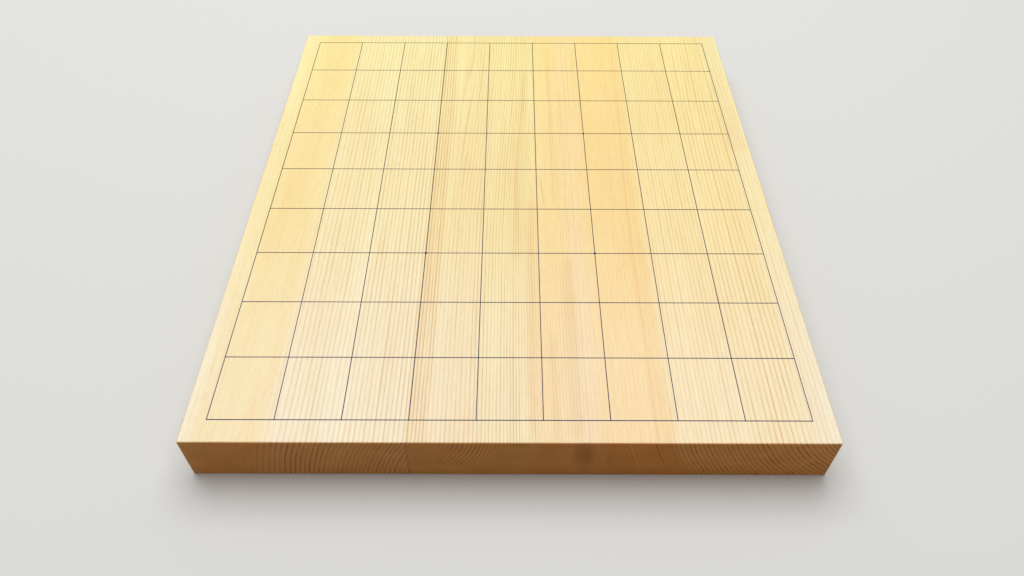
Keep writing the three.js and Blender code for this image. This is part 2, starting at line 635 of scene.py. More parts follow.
@dataclass(frozen=True)
class RingLine:
    """A part of each ring that shows as a line.

    Attributes:
        profile: Its strength across one ring, from the heart's side outwards.
        year_seed: Keeps the years' own strengths apart from the other lines'.
        years: How a year's strength follows from the number drawn for it.
        pattern: The noise by which the line fades and comes back along its way.
        fading: How its strength follows that noise.
    """

    profile: Profile
    year_seed: float
    years: Change
    pattern: Pattern
    fading: Change


@dataclass(frozen=True)
class SpruceFinish:
    """Planed spruce, lightly waxed. Its rings are solid, so the faces and the end grain agree.

    Attributes:
        late_brown: What the late wood leaves of the early wood's colour, where it is brown.
        late_red: The same, where it is red.
        near_sheen_tint: What the near end of the board leaves of each colour: painted sheen, paler and
            bluer towards the near end.
        near_sheen_reach: How that painted sheen fades along the board, in millimetres from its middle.
        far_sheen_tint: The same as near_sheen_tint for the far end, the yellower end of the painted sheen.
        far_sheen_reach: How that comes up along the board.
        contrast_left: How much of the rings' contrast is left towards the far end.
        near_end_grain_and_painted_shade: What the near end grain leaves of each colour: partly the end
            grain's own darker brown, partly painted shade.
        far_end: The same for the far end grain, which is lighter as it carries less of that painted shade.
        side_tone: What the long sides leave of each colour.
        side_contrast: How clearly the rings show on the long sides at least.
        edge_tint: What the rings' edges leave of the end grain's colour.
        fresh_tint: How much paler the wood after each edge is there.
        stain_tint: What a stain leaves there.
        stain_depth: Where the stains end, in millimetres from the middle of the board.
        stain_core: How much of a stain, from its middle, has its full strength.
        streak_core: How much of a streak's width, from its middle, has its full strength.
        streak_rim: Where, as a share of its width, it has faded out.
        streak_taper: Half the length of its fading ends, in millimetres.
        wanders: How the rings stray.
        late: The late wood of each ring.
        edge: The ring's outer edge, as the end grain shows it.
        fresh: The profile of the pale early wood that follows a ring's edge.
        patches: The early wood's large soft patches.
        fibres: The fine fibres, bands and flecks that run along the grain.
        pores: The pores and the soaked patches of the end grain.
        roughness: The middle of its roughness.
        wax: The noise of the uneven wax.
        wax_spread: How much the roughness varies with it.
        late_polish: How much smoother the late wood is.
        refraction: The wax's index of refraction.
        gloss: How strongly the faces reflect.
        end_dulling: How much less the end grain does.
        raised_fibres: The noise of the fibres in the bump.
        fibre_height: Their height as a share of the late wood's.
        relief: How deep the grain stands in the bump, in millimetres.
        relief_strength: How strongly it shows.
    """

    late_brown: Colour = (0.72, 0.655, 0.49)
    late_red: Colour = (0.77, 0.57, 0.40)
    # Painted sheen along the board: paler and bluer towards the near end, yellower towards the far end.
    near_sheen_tint: Colour = (1.01, 1.035, 1.36)
    near_sheen_reach: Change = Change(-170.0, 10.0, 1.0, 0.0)
    far_sheen_tint: Colour = (1.01, 1.055, 0.96)
    far_sheen_reach: Change = Change(10.0, 175.0)
    contrast_left: Change = Change(90.0, 180.0, 1.0, 0.78)
    # The near end grain's brown is partly painted shade; the far end's is lighter.
    near_end_grain_and_painted_shade: Colour = (0.645, 0.338, 0.168)
    far_end: Colour = (0.70, 0.43, 0.22)
    side_tone: Colour = (1.0, 0.91, 0.82)
    side_contrast: float = 0.8
    edge_tint: Colour = (0.42, 0.32, 0.21)
    fresh_tint: Colour = (1.30, 1.33, 1.40)
    stain_tint: Colour = (0.68, 0.60, 0.40)
    stain_depth: float = -150.0
    stain_core: float = 0.2
    streak_core: float = 0.1
    streak_rim: float = 0.6
    streak_taper: float = 6.0
    wanders: tuple[Wander, ...] = (
        Wander(Pattern((60.0, 260.0, 60.0), 1.0, 0.0), 1.1),
        Wander(Pattern((14.0, 70.0, 14.0), 1.0, 0.25), 0.45),
        Wander(Pattern((1.6, 22.0, 1.6), 2.0, 0.5), 0.16),
    )
    late: RingLine = RingLine(
        profile=(
            (0.00, 0.04), (0.50, 0.05), (0.70, 0.24), (0.81, 0.82), (0.88, 1.0), (0.94, 0.60), (1.00, 0.04)
        ),
        year_seed=7.0,
        years=Change(0.0, 1.0, 0.62, 1.07, Pace.STEADY),
        pattern=Pattern((3.2, 75.0, 3.2), 2.0, 1.5),
        fading=Change(0.30, 0.70, 0.55, 1.40),
    )
    edge: RingLine = RingLine(
        profile=((0.00, 0.0), (0.70, 0.0), (0.83, 0.6), (0.88, 1.0), (0.93, 1.0), (0.97, 0.0)),
        year_seed=9.0,
        years=Change(0.05, 0.95, 0.5, 1.3),
        pattern=Pattern((7.0, 40.0, 7.0), 2.0, 1.8),
        fading=Change(0.35, 0.65, 0.45, 1.2),
    )
    fresh: Profile = ((0.02, 0.0), (0.10, 1.0), (0.28, 1.0), (0.50, 0.0))
    patches: tuple[Variation, ...] = (
        Variation(
            Pattern((22.0, 120.0, 22.0), 3.0, 2.5),
            ((0.30, (0.985, 0.965, 0.93)), (0.50, (1.0, 1.0, 1.0)), (0.70, (1.01, 1.025, 1.06))),
        ),
    )
    fibres: tuple[Variation, ...] = (
        Variation(
            Pattern((0.35, 16.0, 0.35), 2.0, 3.5),
            ((0.25, (0.965, 0.955, 0.93)), (0.50, (1.0, 1.0, 1.0)), (0.75, (1.02, 1.025, 1.04))),
        ),
        Variation(
            Pattern((1.3, 60.0, 1.3), 2.0, 4.0),
            ((0.34, (1.0, 0.965, 0.93)), (0.50, (1.0, 1.0, 1.0)), (0.66, (0.99, 1.015, 1.02))),
        ),
        Variation(
            Pattern((0.8, 6.0, 0.8), 1.0, 8.5),
            ((0.30, (0.968, 0.963, 0.952)), (0.50, (1.0, 1.0, 1.0)), (0.70, (1.022, 1.026, 1.034))),
        ),
    )
    pores: tuple[Variation, ...] = (
        Variation(
            Pattern((0.25, 0.25, 0.25), 2.0, 4.5), ((0.3, (0.86, 0.84, 0.80)), (0.6, (1.05, 1.05, 1.05)))
        ),
        Variation(
            Pattern((16.0, 40.0, 9.0), 3.0, 5.5), ((0.35, (0.94, 0.92, 0.90)), (0.65, (1.03, 1.04, 1.05)))
        ),
    )
    roughness: float = 0.52
    wax: Pattern = Pattern((18.0, 40.0, 18.0), 3.0, 6.5)
    wax_spread: float = 0.16
    late_polish: float = 0.08
    refraction: float = 1.45
    gloss: float = 0.5
    end_dulling: float = 0.4
    raised_fibres: Pattern = Pattern((0.3, 9.0, 0.3), 2.0, 7.5)
    fibre_height: float = 0.6
    relief: float = 0.02
    relief_strength: float = 0.35


class StaveWood:
    """The material of one stave, from how it was sawn to how it shines.

    Places are in millimetres: across from the board's left edge, along from its middle, up from its
    underside.
    """

    def __init__(self, name: str, finish: SpruceFinish, timber: Timber) -> None:
        """Finds where each point of the stave lies in its log.

        Args:
            name: The material's name.
            finish: The finish that all the staves share.
            timber: How this one was sawn.
        """
        self.finish = finish
        self.timber = timber
        self.material = bpy.data.materials.new(name)
        self.graph = Graph(self.material)
        self.place, normal = self.graph.places(cad_box[0][0])
        across, self.along, up = self.graph.parts(self.place)
        self.across = self.straightened(across)
        radius = self.heart_distance(up)
        self.rings = self.ring_count(radius)
        self.share = self.graph.ease(radius, Change(*timber.reach(), pace=Pace.STEADY))
        self.sides = self.graph.facing(normal, 0)
        self.ends = self.graph.facing(normal, 1)

    def build(self) -> bpy.types.Material:
        """Colours the wood and gives it its shine.

        Returns:
            The material.
        """
        graph, finish, timber = self.graph, self.finish, self.timber
        zones = graph.add("SeparateColor", graph.ramp(self.share, timber.stops(Growth.strengths)))
        contrast, redness, end_contrast = zones.outputs
        contrast = graph.math("MULTIPLY", contrast, graph.ease(self.along, finish.contrast_left))
        least = graph.math("MULTIPLY", self.sides, finish.side_contrast / 2)
        contrast = graph.math("MAXIMUM", contrast, least)
        late = graph.math("MULTIPLY", self.ring_line(finish.late), contrast)
        depth = graph.math("MULTIPLY", late, 2.0, clamp=True)
        tints = timber.stops(lambda growth: growth.tint)
        early = self.varied(graph.ramp(self.share, tints), finish.patches)
        colour = graph.tinted(early, graph.mix(redness, finish.late_brown, finish.late_red), depth)
        for streak in timber.streaks:
            colour = self.streaked(colour, streak)
        # Painted sheen: paler and bluer towards the near end, yellower towards the far end.
        colour = graph.tinted(colour, finish.near_sheen_tint, graph.ease(self.along, finish.near_sheen_reach))
        colour = graph.tinted(colour, finish.far_sheen_tint, graph.ease(self.along, finish.far_sheen_reach))
        colour = self.varied(colour, finish.fibres)
        colour = graph.tinted(colour, finish.side_tone, self.sides)
        graph.coat({
            "Base Color": graph.mix(self.ends, colour, self.end_grain(early, end_contrast)),
            "IOR": finish.refraction,
            "Roughness": self.roughness(depth),
            "Specular IOR Level": graph.math("MULTIPLY_ADD", self.ends, -finish.end_dulling, finish.gloss),
            "Normal": self.raised_grain(depth),
        })
        return self.material

    def noise(self, pattern: Pattern) -> Socket:
        """Adds a noise of this stave's own."""
        return self.graph.noise(self.place, pattern, self.timber.seed)

    def straightened(self, across: Socket) -> Socket:
        """Takes the grain's drift away, so that the rings can be reckoned as straight.

        Args:
            across: The place across.

        Returns:
            The place across without the drift.
        """
        graph = self.graph
        straight = across
        for drift in self.timber.drifts:
            moved = graph.ease(self.along, Change(drift.near, drift.far, 0.0, drift.reach))
            rising = graph.ease(across, Change(drift.left, drift.full_left))
            falling = graph.ease(across, Change(drift.full_right, drift.right, 1.0, 0.0))
            amount = graph.math("MULTIPLY", moved, graph.math("MULTIPLY", rising, falling))
            straight = graph.math("SUBTRACT", straight, amount)
        return straight

    def heart_distance(self, up: Socket) -> Socket:
        """Measures the distance from the log's heart, and lets the rings wander.

        Args:
            up: The place up.

        Returns:
            The distance in millimetres.
        """
        graph, timber = self.graph, self.timber
        across, middle = self.across, 0.0
        for wander in self.finish.wanders:
            across = graph.math("MULTIPLY_ADD", self.noise(wander.pattern), 2 * wander.reach, across)
            middle += wander.reach
        sideways = graph.math("SUBTRACT", across, timber.pith_across + middle)
        upward = graph.math("SUBTRACT", up, timber.pith_up)
        square = graph.math("MULTIPLY_ADD", upward, upward, graph.math("MULTIPLY", sideways, sideways))
        return graph.math("SQRT", square)

    def ring_count(self, radius: Socket) -> Socket:
        """Counts the rings between the heart's side of the stave and a place in it.

        Args:
            radius: The distance from the heart.

        Returns:
            The number of rings, with its fraction.
        """
        pairs = self.timber.by_radius()
        nearest, farthest = self.timber.reach()
        knots = [(nearest, pairs[0][1]), *pairs, (farthest, pairs[-1][1])]
        count: Value = self.timber.ring_shift
        for (inner, first), (outer, second) in zip(knots, knots[1:]):
            if outer <= inner:
                continue
            face_width = abs(second.place - first.place) or (outer - inner)
            rings = face_width / ((first.spacing + second.spacing) / 2)
            passed = self.graph.ease(radius, Change(inner, outer, 0.0, rings, Pace.STEADY))
            count = self.graph.math("ADD", count, passed)
        return count

    def ring_line(self, line: RingLine) -> Socket:
        """Draws one part of the rings, each ring to its own strength.

        Args:
            line: What is drawn.

        Returns:
            Its strength.
        """
        graph = self.graph
        profile = graph.profile(graph.math("FRACT", self.rings), line.profile)
        year = graph.math("ADD", graph.math("FLOOR", self.rings), line.year_seed * self.timber.seed)
        draw = graph.add("TexWhiteNoise", noise_dimensions="1D")
        graph.feed(draw.inputs["W"], year)
        own = graph.ease(draw.outputs[0], line.years)
        fading = graph.ease(self.noise(line.pattern), line.fading)
        return graph.math("MULTIPLY", profile, graph.math("MULTIPLY", own, fading))

    def varied(self, colour: Socket, variations: tuple[Variation, ...]) -> Socket:
        """Makes a colour uneven.

        Args:
            colour: The colour so far.
            variations: The tints that it gets.

        Returns:
            The uneven colour.
        """
        for variation in variations:
            tint = self.graph.ramp(self.noise(variation.pattern), variation.stops)
            colour = self.graph.tinted(colour, tint)
        return colour

    def streaked(self, colour: Socket, streak: Streak) -> Socket:
        """Adds one streak.

        Args:
            colour: The colour so far.
            streak: The mark.

        Returns:
            The colour with the streak in it.
        """
        graph, finish = self.graph, self.finish
        taper, width = finish.streak_taper, streak.width
        run = graph.math("SUBTRACT", self.along, streak.near)
        line = graph.math("MULTIPLY_ADD", run, streak.slant, streak.place)
        off = graph.math("ABSOLUTE", graph.math("SUBTRACT", self.across, line))
        fading = Change(finish.streak_core * width, finish.streak_rim * width, streak.strength, 0.0)
        opening = graph.ease(self.along, Change(streak.near - taper, streak.near + taper))
        closing = graph.ease(self.along, Change(streak.far - taper, streak.far + taper, 1.0, 0.0))
        ends = graph.math("MULTIPLY", opening, closing)
        return graph.tinted(colour, finish.late_red, graph.math("MULTIPLY", graph.ease(off, fading), ends))

    def end_grain(self, early: Socket, contrast: Socket) -> Socket:
        """Gives the cut ends of the fibres their darker, browner colour, which at the near end is partly
        painted shade.

        Args:
            early: The colour of the early wood.
            contrast: Half of how strongly the rings show.

        Returns:
            The end grain's colour.
        """
        graph, finish = self.graph, self.finish
        edge = graph.math("MULTIPLY", self.ring_line(finish.edge), contrast)
        edge = graph.math("MULTIPLY", edge, 2.0, clamp=True)
        fresh = graph.profile(graph.math("FRACT", self.rings), finish.fresh)
        fresh = graph.math("MULTIPLY", fresh, contrast, clamp=True)
        far = graph.math("GREATER_THAN", self.along, 0.0)
        # Painted shade: the near end grain is darker than the far end's.
        colour = graph.tinted(early, graph.mix(far, finish.near_end_grain_and_painted_shade, finish.far_end))
        colour = graph.tinted(colour, finish.fresh_tint, fresh)
        colour = graph.tinted(colour, finish.edge_tint, edge)
        colour = self.varied(colour, finish.pores)
        for stain in self.timber.stains:
            colour = self.stained(colour, stain)
        return colour

    def stained(self, colour: Socket, stain: Stain) -> Socket:
        """Adds one stain to the near end grain.

        Args:
            colour: The colour so far.
            stain: The dark patch.

        Returns:
            The colour with the stain in it.
        """
        graph, finish = self.graph, self.finish
        off = graph.vector("SUBTRACT", self.place, (stain.place, 0.0, stain.height))
        spread = graph.length(graph.vector("DIVIDE", off, (stain.width, BOUNDLESS, stain.tall)))
        body = graph.ease(spread, Change(finish.stain_core, 1.0, stain.strength, 0.0))
        near = graph.math("LESS_THAN", self.along, finish.stain_depth)
        return graph.tinted(colour, finish.stain_tint, graph.math("MULTIPLY", body, near))

    def roughness(self, depth: Socket) -> Socket:
        """Varies the roughness: late wood is a little smoother, and the wax is uneven.

        Args:
            depth: How far the late wood has darkened.

        Returns:
            The roughness.
        """
        finish = self.finish
        least = finish.roughness - finish.wax_spread / 2
        waxed = self.graph.math("MULTIPLY_ADD", self.noise(finish.wax), finish.wax_spread, least)
        return self.graph.math("MULTIPLY_ADD", depth, -finish.late_polish, waxed)

    def raised_grain(self, depth: Socket) -> Socket:
        """Lets the late wood stand a little proud of the early wood, among the fibres.

        Args:
            depth: How far the late wood has darkened.

        Returns:
            The bumped normal.
        """
        finish = self.finish
        fibres = self.noise(finish.raised_fibres)
        height = self.graph.math("MULTIPLY_ADD", fibres, finish.fibre_height, depth)
        return self.graph.bump(height, finish.relief_strength, finish.relief)


@dataclass(frozen=True)
class LacquerFinish:
    """Dark lacquer laid in thin raised lines, with painted light: navy at the near end, brown-black at the
    far end.

    Attributes:
        near_lit_thick: Its colour where it lies thick, at the near end of the board, with painted light.
        near_lit_thin: The same where it lies thin.
        far_lit_thick: Its colour where it lies thick, at the far end, with painted light.
        far_lit_thin: The same where it lies thin.
        painted_light_turning: How the painted light turns it from the one to the other, in millimetres from
            the board's middle.
        film: The noise of its thickness.
        film_shares: The noise's level up to which it is thick, and from which it is thin.
        roughness: The middle of its roughness.
        spread: How much the roughness varies with the thickness.
        gloss: How strongly it reflects.
        ripple: The noise of its ripples.
        ripple_depth: How deep they are, in millimetres.
        ripple_strength: How strongly they show.
    """

    # Painted light: the lacquer is navy at the near end and brown-black at the far end.
    near_lit_thick: Colour = srgb(14, 13, 74)
    near_lit_thin: Colour = srgb(30, 28, 96)
    far_lit_thick: Colour = srgb(15, 10, 8)
    far_lit_thin: Colour = srgb(32, 24, 20)
    painted_light_turning: Change = Change(-165.0, 130.0)
    film: Pattern = Pattern((4.0, 4.0, 4.0), 3.0, 0.3)
    film_shares: tuple[float, float] = (0.35, 0.68)
    roughness: float = 0.42
    spread: float = 0.2
    gloss: float = 0.18
    ripple: Pattern = Pattern((0.5, 0.5, 0.5), 2.0, 1.3)
    ripple_depth: float = 0.01
    ripple_strength: float = 0.3

    def build(self) -> bpy.types.Material:
        """Makes the material of every stroke and star point.

        Returns:
            The material.
        """
        material = bpy.data.materials.new("black_lacquer")
        graph = Graph(material)
        place, _ = graph.places()
        film = graph.noise(place, self.film)
        thick, thin = self.film_shares
        near = graph.ramp(film, ((thick, self.near_lit_thick), (thin, self.near_lit_thin)))
        far = graph.ramp(film, ((thick, self.far_lit_thick), (thin, self.far_lit_thin)))
        ripple = graph.noise(place, self.ripple)
        graph.coat({
            # Painted light: the colour turns from navy at the near end to brown-black at the far end.
            "Base Color": graph.mix(graph.ease(graph.parts(place)[1], self.painted_light_turning), near, far),
            "Roughness": graph.math("MULTIPLY_ADD", film, self.spread, self.roughness - self.spread / 2),
            "Specular IOR Level": self.gloss,
            "Normal": graph.bump(ripple, self.ripple_strength, self.ripple_depth),
        })
        return material


@dataclass(frozen=True)
class GlueFinish:
    """Dried glue in the hairline between two staves.

    Attributes:
        light: Its colour on the planed faces.
        soiled: The same where dirt has got in.
        dark: Its colour on the end grain.
        dirt: The noise of the dirt.
        dirt_shares: The noise's level up to which it is clean, and from which it is soiled.
        roughness: Its least roughness.
        spread: How much dirt adds to it.
    """

    light: Colour = srgb(243, 214, 152)
    soiled: Colour = srgb(222, 184, 122)
    dark: Colour = srgb(78, 50, 28)
    dirt: Pattern = Pattern((3.0, 14.0, 3.0), 3.0, 0.7)
    dirt_shares: tuple[float, float] = (0.35, 0.7)
    roughness: float = 0.35
    spread: float = 0.3

    def build(self) -> bpy.types.Material:
        """Makes the material of both glue lines.

        Returns:
            The material.
        """
        material = bpy.data.materials.new("dried_glue_line")
        graph = Graph(material)
        place, normal = graph.places()
        dirt = graph.noise(place, self.dirt)
        clean, soiled = self.dirt_shares
        face = graph.ramp(dirt, ((clean, self.light), (soiled, self.soiled)))
        graph.coat({
            "Base Color": graph.mix(graph.facing(normal, 1), face, self.dark),
            "Roughness": graph.math("MULTIPLY_ADD", dirt, self.spread, self.roughness),
        })
        return material


def deselect_all() -> None:
    """Leaves object mode with nothing selected."""
    if bpy.context.mode != "OBJECT":
        bpy.ops.object.mode_set(mode="OBJECT")
    bpy.ops.object.select_all(action="DESELECT")


def make_active(piece: bpy.types.Object) -> None:
    """Leaves object mode and makes one piece the only one selected.

    Args:
        piece: The piece.
    """
    deselect_all()
    piece.select_set(True)
    bpy.context.view_layer.objects.active = piece


def open_for_edit(piece: bpy.types.Object) -> None:
    """Goes into one piece's edit mode."""
    make_active(piece)
    bpy.ops.object.mode_set(mode="EDIT")


def settle(piece: bpy.types.Object) -> None:
    """Puts a piece's place, turn and size into its mesh."""
    make_active(piece)
    bpy.ops.object.transform_apply(location=True, rotation=True, scale=True)


def smooth(piece: bpy.types.Object) -> None:
    """Shades a piece smooth, apart from its sharp edges."""
    make_active(piece)
    bpy.ops.object.shade_smooth_by_angle(angle=SHARP)


def copy_of(piece: bpy.types.Object, name: str) -> bpy.types.Object:
    """Copies a piece with its own mesh.

    Args:
        piece: What is copied.
        name: The copy's name.

    Returns:
        The copy.
    """
    make_active(piece)
    bpy.ops.object.duplicate(linked=False)
    bpy.context.object.name = name
    return bpy.context.object


def pick(piece: bpy.types.Object, kind: Kind, test: Callable[[Points], bool]) -> None:
    """Selects the parts of a mesh, in edit mode, that pass a test of their corners.

    Args:
        piece: The piece, which is in edit mode.
        kind: Whether vertices, edges or faces are picked.
        test: Takes a part's corners and says whether it is picked.
    """
    part_list, mode = kind.value
    bpy.ops.mesh.select_mode(type=mode)
    bpy.ops.mesh.select_all(action="DESELECT")
    mesh = bmesh.from_edit_mesh(piece.data)
    for part in getattr(mesh, part_list):
        corners = [part] if kind is Kind.VERTICES else part.verts
        if test([vertex.co for vertex in corners]):
            part.select_set(True)
    mesh.select_flush_mode()
    bmesh.update_edit_mesh(piece.data)


def cut_away(plane: Vector, normal: tuple[float, float, float]) -> None:
    """Cuts the piece in edit mode by a plane, drops the side that the normal points to and closes it.

    Args:
        plane: A point on the plane.
        normal: Its normal.
    """
    bpy.ops.mesh.select_mode(type="VERT")
    bpy.ops.mesh.select_all(action="SELECT")
    bpy.ops.mesh.bisect(plane_co=plane, plane_no=normal, use_fill=True, clear_outer=True, threshold=FINE)


def clouds(name: str, size: float) -> bpy.types.Texture:
    """Makes a cloud texture for uneven surfaces.

    Args:
        name: Its name.
        size: The size of its clouds in metres.

    Returns:
        The texture.
    """
    texture = bpy.data.textures.new(name, "CLOUDS")
    texture.noise_scale = size
    texture.noise_depth = 2
    return texture


def group_of(piece: bpy.types.Object, name: str, test: Callable[[Vector], bool]) -> str:
    """Gathers the vertices that pass a test in a vertex group.

    Args:
        piece: The piece, in object mode.
        name: The group's name.
        test: Takes a vertex's place and says whether it belongs.

    Returns:
        The group's name.
    """
    members = [vertex.index for vertex in piece.data.vertices if test(vertex.co)]
    piece.vertex_groups.new(name=name).add(members, 1.0, "REPLACE")
    return name


def uneven(
    piece: bpy.types.Object,
    texture: bpy.types.Texture,
    depth: float,
    group: str,
    direction: str,
    middle: float = 0.5,
) -> None:
    """Moves a vertex group by a cloud texture and applies it.

    Args:
        piece: The piece.
        texture: The clouds.
        depth: How far the clouds' full height moves a vertex, in metres.
        group: The vertex group that is moved.
        direction: NORMAL, or the axis along which it is moved.
        middle: The clouds' level that moves nothing.
    """
    make_active(piece)
    modifier = piece.modifiers.new("uneven", "DISPLACE")
    modifier.texture = texture
    modifier.texture_coords = "LOCAL"
    modifier.direction = direction
    modifier.vertex_group = group
    modifier.mid_level = middle
    modifier.strength = depth
    bpy.ops.object.modifier_apply(modifier=modifier.name)


def finish_piece(piece: bpy.types.Object, node: str, material: bpy.types.Material) -> None:
    """Dresses a modelled piece and puts it in its CAD node's stead.

    Args:
        piece: The piece.
        node: The CAD node that it stands for.
        material: Its material.
    """
    piece.data.materials.clear()
    piece.data.materials.append(material)
    piece.data.name = piece.name
    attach(piece, BODY)
    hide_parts(node)
    log.info("%s stands for %s with %d faces", piece.name, node, len(piece.data.polygons))


@dataclass
class Slab:
    """The slab: three staves glued edge to edge, planed as one block and then told apart.

    Attributes:
        spruce: The finish of the staves.
        glue: The finish of the glue lines.
        arris: How far the edges of both faces are eased, in metres.
        corner: The radius of the upright edges.
        segments: The facets across an eased edge.
        long_edge: The least length of the edges that are cut so that they can be uneven.
        stations: How many times these are cut.
        wear: How far handling has worn the eased edges back.
        wear_size: The size of the worn places.
        flatness: How nearly a facet has to face along an axis to stay flat in the shading.
        low: The block's lowest corner.
        high: Its highest corner.
    """

    spruce: SpruceFinish
    glue: GlueFinish
    arris: float = 0.8 * MM
    corner: float = 1.2 * MM
    segments: int = 6
    long_edge: float = 40 * MM
    stations: int = 110
    wear: float = 0.16 * MM
    wear_size: float = 9 * MM
    flatness: float = 0.9995
    low: Vector = field(init=False)
    high: Vector = field(init=False)

    def __post_init__(self) -> None:
        """Takes the block's corners from the CAD model."""
        self.low, self.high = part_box("stave_left")[0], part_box("stave_right")[1]

    def build(self) -> None:
        """Models the staves and the glue lines, and dresses them."""
        block = self.planed_block()
        glue = self.glue.build()
        for name, timber in TIMBERS.items():
            piece = self.slice_of(block, name, name.removeprefix("stave_") + "_stave")
            wood = StaveWood("spruce_of_" + name, self.spruce, timber)
            finish_piece(piece, name, wood.build())
        for name in ("glue_line_left", "glue_line_right"):
            piece = self.slice_of(block, name, name.removeprefix("glue_line_") + "_glue")
            finish_piece(piece, name, glue)
        deselect_all()
        bpy.data.objects.remove(block)

    def planed_block(self) -> bpy.types.Object:
        """Models the whole slab with its edges eased and a little worn.

        Returns:
            The block.
        """
        deselect_all()
        middle, size = (self.low + self.high) / 2, self.high - self.low
        bpy.ops.mesh.primitive_cube_add(size=1.0, location=middle, scale=size)
        block = bpy.context.object
        settle(block)
        open_for_edit(block)
        pick(block, Kind.EDGES, lambda ends: abs(ends[0].z - ends[1].z) > self.arris)
        bpy.ops.mesh.bevel(offset=self.corner, segments=self.segments, affect="EDGES")
        pick(block, Kind.EDGES, self.level)
        bpy.ops.mesh.bevel(offset=self.arris, segments=self.segments, affect="EDGES")
        pick(block, Kind.EDGES, lambda ends: (ends[0] - ends[1]).length > self.long_edge)
        bpy.ops.mesh.subdivide(number_cuts=self.stations)
        bpy.ops.object.mode_set(mode="OBJECT")
        rim = group_of(block, "rim", lambda place: not any(self.in_plane(place, axis) for axis in range(3)))
        uneven(block, clouds("handling", self.wear_size), -self.wear, rim, "NORMAL", 0.0)
        for face in block.data.polygons:
            face.use_smooth = max(abs(part) for part in face.normal) < self.flatness
        return block

    def in_plane(self, place: Vector, axis: int) -> bool:
        """Tells whether a vertex lies in one of the block's two planes across an axis."""
        return min(abs(place[axis] - self.low[axis]), abs(place[axis] - self.high[axis])) < FINE

    def level(self, ends: Points) -> bool:
        """Tells whether an edge lies in the block's upper or lower face."""
        return all(self.in_plane(end, 2) for end in ends) and abs(ends[0].z - ends[1].z) < FINE

    def slice_of(self, block: bpy.types.Object, node: str, name: str) -> bpy.types.Object:
        """Cuts one stave or glue line out of a copy of the block.

        Args:
            block: The planed block.
            node: The CAD node that gives its width.
            name: The new piece's name.

        Returns:
            The piece.
        """
        low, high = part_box(node)
        piece = copy_of(block, name)
        open_for_edit(piece)
        if low.x > self.low.x + FINE:
            cut_away(low, (-1.0, 0.0, 0.0))
        if high.x < self.high.x - FINE:
            cut_away(high, (1.0, 0.0, 0.0))
        bpy.ops.object.mode_set(mode="OBJECT")
        return piece


